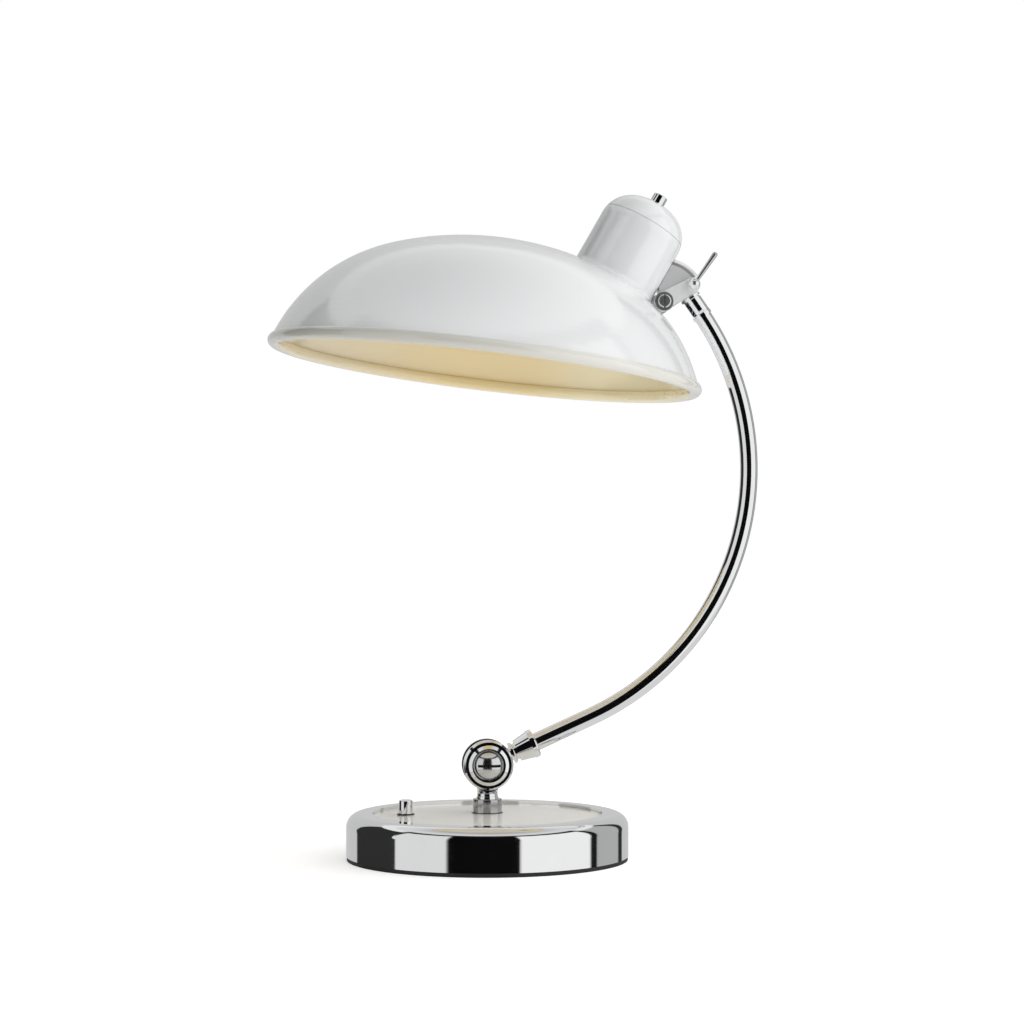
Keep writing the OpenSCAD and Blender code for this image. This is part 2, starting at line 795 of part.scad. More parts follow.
// The arm's end: it carries the tube's form on to the two cheeks, which hold the tilt axis and the clamp
module arm_head() {
    web_from = sector_from - tilt_up - 2;
    color("#d8dadc") difference() {
        union() {
            at_joint() plate(-cheek_face, cheek_face) link_2d([0, 0], fork_eye_r, clamp_j, hub_r);
            on_tube_end() intersection() {
                linear_extrude(neck_l) head_neck_2d(tube_r);
                rotate_extrude() polygon([[0, 0], [tube_r + 1.5, 0], [tube_r + 4, 4.6], [tube_r + 4, far], [0, far]]);
            }
            on_tube_end() translate([0, 0, neck_l - neck_bead_l - 1.6])
                linear_extrude(neck_bead_l) head_neck_2d(tube_r + neck_bead);
            on_tube_end() translate([0, 0, -head_spigot_l]) cylinder(r = spigot_r, h = head_spigot_l + 1);
            at_clamp() to_front() translate([0, 0, cheek_face - 1])
                cylinder(r = clamp_boss_r, h = clamp_boss_h + 1);
        }
        at_joint() plate(-slot_half, slot_half) {
            circle(lobe_slot_r);
            intersection() {
                circle(sector_slot_r);
                rotate(web_from) square([far, far]);
            }
        }
        at_joint() plate(-far, far) circle(tilt_pin_r + seat_gap / 2);
        at_clamp() plate(-far, 0) circle(clamp_pin_r + run_gap);
    }
}

module tilt_washers() {
    color("#cfd1d3") at_joint() for (turn = [-90, 90]) {
        rotate([turn, 0, 0]) translate([0, 0, cheek_face]) difference() {
            rounded_disc(fork_eye_r + 0.4, tilt_washer_t, 0.5);
            translate([0, 0, -1]) cylinder(r = tilt_pin_r + seat_gap, h = far);
            translate([0, 0, tilt_washer_t - 0.4]) ring(fork_eye_r - 0.7, tilt_head_r + 0.3, far);
        }
    }
}

module tilt_screw() {
    face = cheek_face + tilt_washer_t;
    color("#cfd1d3") at_joint() to_front() {
        difference() {
            translate([0, 0, face]) rounded_disc(tilt_head_r, tilt_head_h, 1);
            translate([-0.5, -far / 2, face + tilt_head_h - 1.1]) cube([1, far, far]);
        }
        translate([0, 0, -face - 1.6]) cylinder(r = tilt_pin_r, h = 2 * face + 1.6);
    }
}

module tilt_nut() {
    color("#cfd1d3") at_joint() to_rear() translate([0, 0, cheek_face + tilt_washer_t]) difference() {
        domed_head(tilt_head_r, 3);
        translate([0, 0, -1]) cylinder(r = tilt_pin_r + seat_gap, h = 2.8);
    }
}

// ---- Clamp lever ----

module at_clamp() {
    at_joint() translate([clamp_j[0], 0, clamp_j[1]]) children();
}

module clamp_screw() {
    tip = slot_half - side_gap / 2;
    color("#d8dadc") at_clamp() to_front() {
        translate([0, 0, tip]) cylinder(r = clamp_pin_r, h = cheek_face + clamp_boss_h - tip);
        difference() {
            union() {
                translate([0, 0, cheek_face + clamp_boss_h + side_gap / 2])
                    cylinder(r = clamp_boss_r - 0.9, h = clamp_ball_r - 0.6);
                translate([0, 0, ball_y + side_gap]) sphere(clamp_ball_r);
            }
            cylinder(r = far, h = cheek_face + clamp_boss_h + side_gap / 2);
        }
        translate([0, 0, cheek_face]) cylinder(r = clamp_pin_r, h = clamp_boss_h + 1);
    }
}

module clamp_lever() {
    reach = lever_l - lever_tip_d / 2;
    start = clamp_ball_r - 0.3;
    color("#d8dadc") at_clamp() translate([0, -ball_y - side_gap, 0]) rotate([0, 90 - lever_a, 0]) difference() {
        union() {
            translate([0, 0, start]) cylinder(d1 = lever_root_d, d2 = lever_tip_d, h = reach - start);
            translate([0, 0, reach]) sphere(lever_tip_d / 2);
        }
        sphere(clamp_ball_r);
    }
}

// ---- Shade side of the joint ----

module tilt_quadrant() {
    round_r = quadrant_edge_r;
    half = quadrant_t / 2;
    color("#dfe1e3") difference() {
        at_joint() {
            rotate([90, 0, 0]) rotate([0, 0, sector_from])
                rotate_extrude(angle = sector_to - sector_from) {
                    translate([quadrant_hub_r - 1, -half]) square([quadrant_r - round_r - quadrant_hub_r + 1, 2 * half]);
                    translate([quadrant_hub_r - 1, round_r - half])
                        square([quadrant_r - quadrant_hub_r + 1, 2 * (half - round_r)]);
                    for (side = [-1, 1]) {
                        translate([quadrant_r - round_r, side * (half - round_r)]) circle(round_r);
                    }
                }
            rotate([90, 0, 0]) rotate([0, 0, lobe_from])
                rotate_extrude(angle = sector_from - lobe_from + 3) translate([quadrant_hub_r - 1, -half])
                    square([lobe_r - quadrant_hub_r + 1, 2 * half]);
            plate(-half, half) circle(quadrant_hub_r);
        }
        at_joint() plate(-far, far) circle(tilt_pin_r + run_gap);
        in_neck() translate([0, 0, -20]) cylinder(r = neck_r + seat_gap, h = far);
        at_bracket_screws() cylinder(r = bracket_screw_r + seat_gap, h = shade_t + bracket_screw_l + 0.5);
    }
}

// Starts on the neck's inner wall and points out towards the quadrant
module at_bracket_screws() {
    for (z = bracket_screws_z) {
        in_neck() translate([neck_bore, 0, z]) rotate([0, 90, 0]) children();
    }
}

module quadrant_screws() {
    color("#b9bbbd") for (i = [0, 1]) {
        in_neck() translate([bracket_seats[i], 0, bracket_screws_z[i]]) rotate([0, 90, 0]) {
            cylinder(r = bracket_screw_r, h = bracket_screw_l);
            translate([0, 0, -bracket_head_t]) cylinder(r = bracket_head_r, h = bracket_head_t);
        }
    }
}

// ---- Shade ----

// A point on a circle in the XZ plane
function on_arc(c, r, a) = c + r * [cos(a), sin(a)];

// Half of the dome's outline down to a height, pulled in by its wall for the inside
module dome_2d(inset, z) {
    r = shoulder_r - inset;
    low_a = asin((z - shoulder_c[1]) / r);
    shoulder = [for (i = [0:dome_steps]) on_arc(shoulder_c, r, low_a + (meet_a - low_a) * i / dome_steps)];
    crown = [for (i = [1:crown_steps]) on_arc([0, crown_z], crown_r - inset, meet_a + (90 - meet_a) * i / crown_steps)];
    polygon(concat([[0, z]], shoulder, crown));
}

// Half of the neck's outline, with its flare and the start of the cap's curve
module neck_2d() {
    base_z = -flare_drop;
    turn_z = neck_h + cap_centre_h;
    difference() {
        translate([0, base_z - 8]) square([neck_r + flare_r, turn_z - base_z + 8]);
        translate([neck_r, base_z + flare_r]) square([far, far]);
        translate([neck_r + flare_r, base_z + flare_r]) circle(flare_r);
        translate([neck_r, base_z - far]) square([far, far]);
    }
    intersection() {
        translate([0, neck_h]) two_arcs_2d(cap_h, cap_crown_r, cap_shoulder_r, cap_shoulder_x, 0);
        translate([0, turn_z]) square([far, neck_h - turn_z]);
    }
}

module shade() {
    color("#f4f5f5") difference() {
        union() {
            in_shade() rotate_extrude() {
                dome_2d(0, 0);
                bead_2d();
            }
            in_neck() rotate_extrude() neck_2d();
        }
        in_shade() rotate_extrude() difference() {
            dome_2d(shade_t, -2 * bead_r);
            bead_2d();
            translate([rim_r - bead_r, -3 * bead_r]) square([2 * bead_r, 3 * bead_r]);
        }
        in_neck() translate([0, 0, -30]) cylinder(r = neck_bore, h = far);
        at_bracket_screws() translate([0, 0, -1]) cylinder(r = bracket_screw_r + seat_gap, h = 6);
    }
}

// The rim's wire, round which the shade's edge is rolled
module bead_2d() {
    translate([rim_r, 0]) circle(bead_r);
}

module neck_cap() {
    color("#f4f5f5") in_neck() translate([0, 0, neck_h]) difference() {
        rotate_extrude() {
            difference() {
                intersection() {
                    two_arcs_2d(cap_h, cap_crown_r, cap_shoulder_r, cap_shoulder_x, 0);
                    translate([0, cap_gap]) square([far, far]);
                }
                two_arcs_2d(cap_h, cap_crown_r, cap_shoulder_r, cap_shoulder_x, 1.4);
            }
            translate([neck_bore - 2 * seat_gap - 1.4, -cap_skirt_l]) square([1.4, cap_skirt_l + 2]);
        }
        cylinder(r = knob_pin_r + seat_gap, h = far);
    }
}

module cap_knob() {
    seat = neck_h + cap_h - 0.1;
    color("#d8dadc") in_neck() {
        translate([0, 0, seat]) rounded_disc(knob_d / 2, knob_h, 0.6);
        translate([0, 0, bridge_z + bridge_t + nut_t + 4]) cylinder(r = knob_pin_r, h = seat - bridge_z - bridge_t - nut_t - 4);
    }
}

// ---- Lampholder and bulb ----

module holder_bridge() {
    color("#b9bbbd") in_neck() difference() {
        union() {
            translate([0, 0, bridge_z]) cylinder(r = neck_bore - seat_gap, h = bridge_t);
            intersection() {
                translate([0, 0, bracket_screws_z[1] - 5])
                    ring(neck_bore - seat_gap, neck_bore - seat_gap - bridge_tab_t, bridge_z - bracket_screws_z[1] + 5.5);
                translate([0, -6, 0]) cube([far, 12, far]);
            }
        }
        cylinder(r = nipple_r + seat_gap, h = far);
        translate([0, 0, bracket_screws_z[1]]) rotate([0, 90, 0]) cylinder(r = bracket_screw_r + seat_gap, h = far);
    }
}

module holder_nipple() {
    color("#b9bbbd") in_neck() translate([0, 0, holder_top - holder_roof_t + 0.5])
        ring(nipple_r, knob_pin_r + seat_gap, holder_roof_t + bridge_t + nut_t + 7);
}

module holder_nut() {
    color("#b9bbbd") in_neck() translate([0, 0, bridge_z + bridge_t]) difference() {
        cylinder(r = nut_r, h = nut_t, $fn = 6);
        translate([0, 0, -1]) cylinder(r = nipple_r + seat_gap, h = nut_t + 2);
    }
}

module lampholder() {
    color("#ece9e1") in_neck() difference() {
        union() {
            translate([0, 0, holder_bottom]) cylinder(r = holder_r - 1.5, h = holder_l - 6);
            translate([0, 0, holder_bottom]) cylinder(r = holder_r, h = 8);
            translate([0, 0, holder_top - 12]) rounded_disc(holder_r, 12, 4);
        }
        translate([0, 0, holder_bottom - 1])
            cylinder(r = screw_shell_r + shell_wall + seat_gap, h = shell_top + shell_wall + seat_gap - holder_bottom + 1);
        translate([0, 0, holder_bottom]) cylinder(r = nipple_r + seat_gap, h = far);
    }
}

module screw_shell() {
    color("#c8a24a") in_neck() {
        translate([0, 0, shell_bottom]) ring(screw_shell_r + shell_wall, screw_shell_r, shell_top - shell_bottom);
        translate([0, 0, shell_top]) ring(screw_shell_r + shell_wall, 4.6, shell_wall);
    }
}

module holder_contact() {
    color("#c8a24a") in_neck() translate([0, 0, bulb_tip_z]) cylinder(r = 3.4, h = holder_top - holder_roof_t + 0.5 - bulb_tip_z);
}

module bulb_cap() {
    color("#c9cbcd") in_neck() difference() {
        union() {
            translate([0, 0, bulb_cap_z]) cylinder(r = bulb_cap_r, h = bulb_cap_l - 4);
            translate([0, 0, shell_top - 4]) cylinder(r1 = bulb_cap_r, r2 = 8, h = 4);
        }
        translate([0, 0, bulb_cap_z - 1]) cylinder(r = bulb_cap_r - 0.5, h = bulb_cap_l - 4);
    }
}

module bulb_contact() {
    color("#3a3a3b") in_neck() translate([0, 0, shell_top]) cylinder(r1 = 4.4, r2 = 3, h = bulb_tip_z - shell_top);
}

// Half of the bulb's outline, pulled in by the glass for the inside
module glass_2d(inset) {
    r = globe_r - inset;
    throat = glass_neck_r - inset;
    translate([0, globe_z]) intersection() {
        circle(r);
        translate([0, -far]) square([far, 2 * far]);
    }
    polygon([[0, globe_z], [r * cos(35), globe_z + r * sin(35)], [throat, bulb_cap_z - 4], [throat, bulb_cap_z + 5], [0, bulb_cap_z + 5]]);
}

module bulb_glass() {
    color("#f3f1ea") in_neck() rotate_extrude() difference() {
        glass_2d(0);
        glass_2d(glass_t);
        translate([0, bulb_cap_z + 4]) square([glass_neck_r - glass_t, 3]);
    }
}

base_pad();
bottom_plate();
plate_screws();
ballast();
base_shell();
top_disc();
cord_inlet();
switch_bezel();
switch_housing();
switch_terminals();
switch_spring();
switch_button();
stem_collar();
stem_nipple();
nipple_nut();
lock_ring();
stem_fork();
knuckle_rings();
knuckle_screw();
knuckle_nut();
arm_eye();
arm_ferrule();
arm_tube();
head_collar();
arm_head();
tilt_washers();
tilt_screw();
tilt_nut();
clamp_screw();
clamp_lever();
tilt_quadrant();
quadrant_screws();
shade();
neck_cap();
cap_knob();
holder_bridge();
holder_nipple();
holder_nut();
lampholder();
screw_shell();
holder_contact();
bulb_cap();
bulb_contact();
bulb_glass();
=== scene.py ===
import json
import math

import bpy
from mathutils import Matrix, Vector


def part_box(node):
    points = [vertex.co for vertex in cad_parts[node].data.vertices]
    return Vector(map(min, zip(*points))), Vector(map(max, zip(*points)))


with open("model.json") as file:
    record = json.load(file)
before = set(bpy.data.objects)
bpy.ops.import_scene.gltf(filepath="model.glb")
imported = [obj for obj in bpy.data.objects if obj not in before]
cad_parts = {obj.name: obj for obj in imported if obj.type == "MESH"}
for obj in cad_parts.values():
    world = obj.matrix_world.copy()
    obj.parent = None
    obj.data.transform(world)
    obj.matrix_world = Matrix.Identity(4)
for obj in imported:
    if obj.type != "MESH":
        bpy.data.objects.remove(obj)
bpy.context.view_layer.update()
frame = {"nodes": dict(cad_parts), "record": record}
scene = bpy.context.scene

# ---- camera: the lamp is turned a few degrees to it, and it looks up a little ----
CAMERA_PLACE = (-0.13933, -1.48155, 0.193)
YAW, PITCH = math.radians(-5.988), math.radians(1.232)
LENS_MM, SENSOR_MM = 80.33, 36.0

cam_data = bpy.data.cameras.new("camera")
cam = bpy.data.objects.new("camera", cam_data)
scene.collection.objects.link(cam)
cam_data.sensor_width = SENSOR_MM
cam_data.lens = LENS_MM
cam_data.clip_start = 0.05
cam_data.clip_end = 30.0
sight = Vector((-math.sin(YAW) * math.cos(PITCH), math.cos(YAW) * math.cos(PITCH), math.sin(PITCH)))
cam.location = CAMERA_PLACE
cam.rotation_euler = sight.to_track_quat("-Z", "Y").to_euler()
scene.camera = cam

scene.view_settings.view_transform = "Standard"

BEVEL_SAMPLES = 6


# ---- small helpers for colours and node trees ----
def grey(value):
    return (value, value, value)


def darker(colour, share):
    return tuple(v * share for v in colour)


class Tree:
    """Short names for the nodes of one material or world."""

    def __init__(self, tree, fresh=True):
        self.tree = tree
        if fresh:
            tree.nodes.clear()

    def node(self, kind, **values):
        n = self.tree.nodes.new(kind)
        for key, value in values.items():
            setattr(n, key, value)
        return n

    def put(self, socket, value):
        """Links an output to a socket, or sets the socket's own value."""
        if hasattr(value, "is_output"):
            self.tree.links.new(value, socket)
        elif socket.type == "RGBA":
            socket.default_value = (*value, 1.0)
        else:
            socket.default_value = value

    def math(self, op, a, b=0.0):
        n = self.node("ShaderNodeMath", operation=op)
        self.put(n.inputs[0], a)
        self.put(n.inputs[1], b)
        return n.outputs[0]

    def hypot(self, a, b):
        squares = self.math("ADD", self.math("MULTIPLY", a, a), self.math("MULTIPLY", b, b))
        return self.math("SQRT", squares)

    def xyz(self, vector):
        n = self.node("ShaderNodeSeparateXYZ")
        self.put(n.inputs[0], vector)
        return n.outputs

    def mix(self, fac, a, b):
        n = self.node("ShaderNodeMix", data_type="RGBA")
        self.put(n.inputs["Factor"], fac)
        self.put(n.inputs[6], a)
        self.put(n.inputs[7], b)
        return n.outputs[2]

    def blend(self, fac, first, second):
        n = self.node("ShaderNodeMixShader")
        self.put(n.inputs[0], fac)
        self.put(n.inputs[1], first)
        self.put(n.inputs[2], second)
        return n.outputs[0]

    def ramp(self, fac, stops):
        """Greys between stops, each a position and a brightness."""
        n = self.node("ShaderNodeValToRGB")
        elements = n.color_ramp.elements
        while len(elements) < len(stops):
            elements.new(0.5)
        for element, (position, value) in zip(elements, stops):
            element.position = position
            element.color = (*grey(value), 1.0)
        self.put(n.inputs[0], fac)
        return n.outputs[0]

    def noise(self, place, scale, detail, rough):
        n = self.node("ShaderNodeTexNoise")
        n.inputs["Scale"].default_value = scale
        n.inputs["Detail"].default_value = detail
        n.inputs["Roughness"].default_value = rough
        self.put(n.inputs["Vector"], place)
        return n.outputs["Fac"]

    def smooth(self, value, low, high):
        """0 below low, 1 above high, and a soft step between them."""
        n = self.node("ShaderNodeMapRange", interpolation_type="SMOOTHSTEP")
        self.put(n.inputs["Value"], value)
        n.inputs["From Min"].default_value = low
        n.inputs["From Max"].default_value = high
        return n.outputs[0]

    def bump(self, height, strength, distance, edge=0.0):
        """A bump from a height. With an edge, sharp edges also shade as if rounded by that radius."""
        n = self.node("ShaderNodeBump")
        if edge:
            soft_edge = self.node("ShaderNodeBevel", samples=BEVEL_SAMPLES)
            soft_edge.inputs["Radius"].default_value = edge
            self.put(n.inputs["Normal"], soft_edge.outputs[0])
        n.inputs["Strength"].default_value = strength
        n.inputs["Distance"].default_value = distance
        self.put(n.inputs["Height"], height)
        return n.outputs[0]


def material(name):
    m = bpy.data.materials.new(name)
    m.use_nodes = True
    t = Tree(m.node_tree)
    out = t.node("ShaderNodeOutputMaterial")
    bsdf = t.node("ShaderNodeBsdfPrincipled")
    t.put(out.inputs[0], bsdf.outputs[0])
    return m, t, bsdf


def object_place(t):
    return t.node("ShaderNodeTexCoord").outputs["Object"]


def base_colour(m):
    return m.node_tree.nodes["Principled BSDF"].inputs["Base Color"]


# ---- finishes ----
# What all the plating shares: a cloud of handling, a fine grain, and the waviness of buffing
def cloud(t, place):
    return t.noise(place, 60.0, 4.0, 0.6)


def fine_grain(t, place):
    return t.noise(place, 900.0, 2.0, 0.5)


def buffing(t, place):
    return t.noise(place, 35.0, 1.0, 0.4)


def plated(name, tint, rough, wear=0.05, ripple=0.02, metal=1.0, edge=0.0):
    """Polished plating: a faint change of gloss from handling and a slight waviness from buffing."""
    m, t, b = material(name)
    place = object_place(t)
    t.put(b.inputs["Base Color"], t.mix(cloud(t, place), darker(tint, 0.94), tint))
    b.inputs["Metallic"].default_value = metal
    t.put(b.inputs["Roughness"], t.math("ADD", t.math("MULTIPLY", fine_grain(t, place), wear), rough))
    t.put(b.inputs["Normal"], t.bump(buffing(t, place), ripple, 0.001, edge))
    return m


def lacquer(name, colour, rough, coat, peel=0.05):
    """Sprayed gloss lacquer with a little orange peel."""
    m, t, b = material(name)
    place = object_place(t)
    uneven = t.noise(place, 14.0, 3.0, 0.5)
    t.put(b.inputs["Base Color"], t.mix(uneven, darker(colour, 0.975), colour))
    b.inputs["Roughness"].default_value = rough
    b.inputs["Coat Weight"].default_value = coat
    b.inputs["Coat Roughness"].default_value = 0.04
    t.put(b.inputs["Normal"], t.bump(t.noise(place, 420.0, 2.0, 0.5), peel, 0.0004))
    return m, t, b


def plain(name, colour, rough, metal=0.0, grain=300.0, strength=0.15, spread=0.12):
    """An even finish: one grain runs through its colour, its gloss and its surface."""
    m, t, b = material(name)
    n = t.noise(object_place(t), grain, 4.0, 0.6)
    t.put(b.inputs["Base Color"], t.mix(n, darker(colour, 1.0 - spread), colour))
    b.inputs["Metallic"].default_value = metal
    t.put(b.inputs["Roughness"], t.math("ADD", t.math("MULTIPLY", n, 0.12), rough - 0.06))
    t.put(b.inputs["Normal"], t.bump(n, strength, 0.0006))
    return m


# The shade's own frame, in metres: the middle of its rim, its tilt, and the two arcs of its dome
RIM_MIDDLE = Vector((-0.001746, 0.0, 0.319795))
SHADE_TILT = math.radians(6.8)
CROWN_R, SHOULDER_R = 0.2075, 0.1125
CROWN_Z = 0.0832 - CROWN_R
SHOULDER = (0.03352, -0.03541)
SHADE_WALL = 0.0012
ARCS_MEET = 0.0732
RIM_TOP, RIM_INNER = 0.0034, 0.1368


def inside_shade(t):
    """1 on the shade's inner wall and 0 on its outside, from the dome's two arcs, with r, x and z there."""
    turned = t.node("ShaderNodeMapping", vector_type="TEXTURE")
    turned.inputs["Location"].default_value = RIM_MIDDLE
    turned.inputs["Rotation"].default_value = (0.0, SHADE_TILT, 0.0)
    t.put(turned.inputs["Vector"], object_place(t))
    x, y, z = t.xyz(turned.outputs[0])
    r = t.hypot(x, y)
    to_shoulder = t.hypot(t.math("SUBTRACT", r, SHOULDER[0]), t.math("SUBTRACT", z, SHOULDER[1]))
    to_crown = t.hypot(r, t.math("SUBTRACT", z, CROWN_Z))
    half_wall = SHADE_WALL * 0.5
    under_shoulder = t.math("LESS_THAN", to_shoulder, SHOULDER_R - half_wall)
    under_crown = t.math("LESS_THAN", to_crown, CROWN_R - half_wall)
    near_axis = t.math("LESS_THAN", r, ARCS_MEET)
    under = t.math("ADD", t.math("MULTIPLY", under_shoulder, t.math("SUBTRACT", 1.0, near_axis)),
                   t.math("MULTIPLY", under_crown, near_axis))
    return under, r, x, z


CHROME = (0.86, 0.865, 0.87)
WHITE = (0.86, 0.87, 0.875)
RIM = (0.80, 0.785, 0.725)
# painted shade: the rim's colour on its left, where less light falls
SHADED_RIM = (0.58, 0.57, 0.51)
CREAM = (0.86, 0.755, 0.54)
# Painted light: the inside's cream turns warmer and brighter towards the bulb, as if lit by it
PAINTED_GLOW_CREAM = (0.92, 0.75, 0.42)
PAINTED_BULB_LIGHT_CREAM = (0.96, 0.86, 0.58)
DEEP_CREAM = (0.80, 0.76, 0.66)
# Where these turn into each other, in metres of the shade's own frame: along its x, and deep along its z
PAINTED_GLOW_SPREAD, PAINTED_BULB_LIGHT_SPREAD, RIM_SHADE_FADES = (-0.11, 0.0), (0.035, 0.095), (-0.12, 0.10)
CREAM_PALES_DEEP = (0.028, 0.055)


def shade_lacquer():
    """White outside, cream inside with painted warm light that grows warmer and brighter towards the bulb,
    and a warm white rolled rim with painted shade on its left.
    """
    m, t, b = lacquer("shade_lacquer", WHITE, 0.22, 1.0)
    under, r, x, z = inside_shade(t)
    outside = base_colour(m).links[0].from_socket
    # painted light of the bulb: warmer, then brighter, towards the neck
    inside = t.mix(t.smooth(x, *PAINTED_GLOW_SPREAD), CREAM, PAINTED_GLOW_CREAM)
    inside = t.mix(t.smooth(x, *PAINTED_BULB_LIGHT_SPREAD), inside, PAINTED_BULB_LIGHT_CREAM)
    inside = t.mix(t.smooth(z, *CREAM_PALES_DEEP), inside, DEEP_CREAM)
    wall = t.mix(under, outside, inside)
    rim = t.math("MULTIPLY", t.math("LESS_THAN", z, RIM_TOP), t.math("GREATER_THAN", r, RIM_INNER))
    # painted shade: the rim is darker on its left and lighter on its right
    rim_with_painted_shade = t.mix(t.smooth(x, *RIM_SHADE_FADES), SHADED_RIM, RIM)
    t.put(base_colour(m), t.mix(rim, wall, rim_with_painted_shade))
    return m


def pearl_lacquer():
    """The disc's lacquer: pale and a little metallic, so that it mirrors the stem faintly."""
    m, t, b = lacquer("disc_lacquer", (0.97, 0.96, 0.915), 0.14, 0.0)
    b.inputs["Metallic"].default_value = 0.14
    b.inputs["Specular IOR Level"].default_value = 0.02
    return m


# Colour and roughness, then, where they differ from plain(): metal, grain, strength and spread
PLAIN = {
    "pad": ((0.012, 0.012, 0.012), 0.6),
    "weight": ((0.09, 0.09, 0.095), 0.7, 0.6, 160.0, 0.5),
    "steel": ((0.62, 0.63, 0.64), 0.35, 1.0),
    "grommet": ((0.02, 0.02, 0.02), 0.45),
    "switch_plastic": ((0.03, 0.03, 0.03), 0.4),
    "holder_plastic": ((0.82, 0.79, 0.70), 0.25, 0.0, 40.0, 0.02, 0.04),
    "brass": ((0.80, 0.60, 0.27), 0.25, 1.0),
    "bulb_metal": ((0.78, 0.79, 0.80), 0.25, 1.0),
    "bulb_insulator": ((0.03, 0.03, 0.03), 0.3),
}

mats = {
    "chrome": plated("chrome", CHROME, 0.03),
    "quadrant_chrome": plated("quadrant_chrome", (0.90, 0.905, 0.91), 0.27, metal=0.45, edge=0.0007),
    "shade_lacquer": shade_lacquer(),
    "disc_lacquer": pearl_lacquer(),
}
for name, values in PLAIN.items():
    mats[name] = plain(name, *values)
mats["opal_glass"] = lacquer("opal_glass", (0.90, 0.88, 0.82), 0.25, 0.5, 0.0)[0]

slot_of = {s["node"]: s["material_slot"] for s in frame["record"]["subparts"]}
for name, obj in frame["nodes"].items():
    obj.data.materials.clear()
    obj.data.materials.append(mats[slot_of[name]])

# ---- pieces of the chrome that are finished otherwise, some with painted shade ----
TILT_AXIS = Vector((0.115171, 0.0, 0.362891))
TO_TUBE = Vector((0.5, 0.0, -0.866))
# Distances from the tilt axis towards the tube, between which the head's satin turns to polish
POLISH_FROM, POLISH_TO = 0.0048, 0.0066
# Painted shade at a piece's foot: how dark it gets, and how far up it fades
FOOT_SHADE_DARK, FOOT_SHADE_FADE = 0.06, 1.6
# Painted shade of a groove on the quadrant that is not modelled: how dark, and how soft its edges
GROOVE_SHADE_DARK, GROOVE_SHADE_FADE = 0.30, 0.0004


def joint_head():
    """Satin on the two cheeks, polished where the head carries the tube on."""
    m, t, b = material("chrome_head")
    place = object_place(t)
    along = t.node("ShaderNodeVectorMath", operation="DOT_PRODUCT")
    t.put(along.inputs[0], place)
    along.inputs[1].default_value = TO_TUBE
    start = TILT_AXIS.dot(TO_TUBE)
    neck = t.smooth(along.outputs["Value"], start + POLISH_FROM, start + POLISH_TO)
    satin = t.mix(cloud(t, place), (0.92, 0.925, 0.93), (0.97, 0.975, 0.98))
    t.put(b.inputs["Base Color"], t.mix(neck, satin, CHROME))
    t.put(b.inputs["Metallic"], t.math("ADD", t.math("MULTIPLY", neck, 0.75), 0.25))
    rough = t.math("SUBTRACT", 0.22, t.math("MULTIPLY", neck, 0.18))
    t.put(b.inputs["Roughness"], t.math("ADD", t.math("MULTIPLY", fine_grain(t, place), 0.05), rough))
    t.put(b.inputs["Normal"], t.bump(buffing(t, place), 0.02, 0.001, 0.0006))
    return m


def shaded_at_foot(m, node, height=0.0007):
    """Paints shade on a piece: darkens it in a thin line at its foot, where it stands on what carries it.
    """
    t = Tree(m.node_tree, fresh=False)
    z = t.xyz(object_place(t))[2]
    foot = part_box(node)[0][2]
    foot_shade = t.smooth(z, foot + height, foot + height * FOOT_SHADE_FADE)
    colour = base_colour(m)
    t.put(colour, t.mix(foot_shade, grey(FOOT_SHADE_DARK), colour.links[0].from_socket))
    return m


def painted_groove_shade(m, inner, outer):
    """Paints the shade of a shallow groove that is not modelled: a dark band round the tilt axis, between
    two radii.
    """
    t = Tree(m.node_tree, fresh=False)
    off = t.node("ShaderNodeVectorMath", operation="SUBTRACT")
    t.put(off.inputs[0], object_place(t))
    off.inputs[1].default_value = TILT_AXIS
    dx, _, dz = t.xyz(off.outputs[0])
    r = t.hypot(dx, dz)
    past_inner = t.smooth(r, inner - GROOVE_SHADE_FADE, inner + GROOVE_SHADE_FADE)
    past_outer = t.smooth(r, outer - GROOVE_SHADE_FADE, outer + GROOVE_SHADE_FADE)
    groove_shade = t.math("MULTIPLY", past_inner, t.math("SUBTRACT", 1.0, past_outer))
    colour = base_colour(m)
    t.put(colour, t.mix(groove_shade, colour.links[0].from_socket, grey(GROOVE_SHADE_DARK)))
    return m


for name, finish in {
    "arm_head": joint_head(),
    # painted shade: a dark band where a groove on the quadrant would be
    "tilt_quadrant": painted_groove_shade(mats["quadrant_chrome"], 0.0252, 0.0272),
    "tilt_washers": plated("chrome_washer", (0.84, 0.845, 0.85), 0.16, metal=0.85),
    "tilt_screw": plated("chrome_tilt_screw", (0.74, 0.745, 0.75), 0.17, metal=0.9),
    "clamp_screw": plated("chrome_ball", (0.90, 0.905, 0.91), 0.12, metal=0.88),
    "clamp_lever": plated("chrome_handle", (0.60, 0.605, 0.61), 0.2),
    "knuckle_screw": plated("chrome_knuckle_screw", (0.70, 0.70, 0.695), 0.12, 0.08, 0.03),
    # painted shade: a dark line where the collar and the bezel stand on what carries them
    "stem_collar": shaded_at_foot(plated("chrome_collar", (0.52, 0.52, 0.525), 0.07), "stem_collar"),
    "switch_bezel": shaded_at_foot(plated("chrome_bezel", (0.70, 0.70, 0.705), 0.06), "top_disc", 0.0038),
}.items():
    frame["nodes"][name].data.materials[0] = finish


# ---- floor: pale, keeps the shadow, and isn't seen in the chrome ----
FLOOR_HALF = 6.0
FLOOR_COLOUR = 0.80
# The glow lights the lamp from below, and the camera alone sees more of it
FLOOR_GLOW, CAMERA_GLOW = 0.36, 0.16


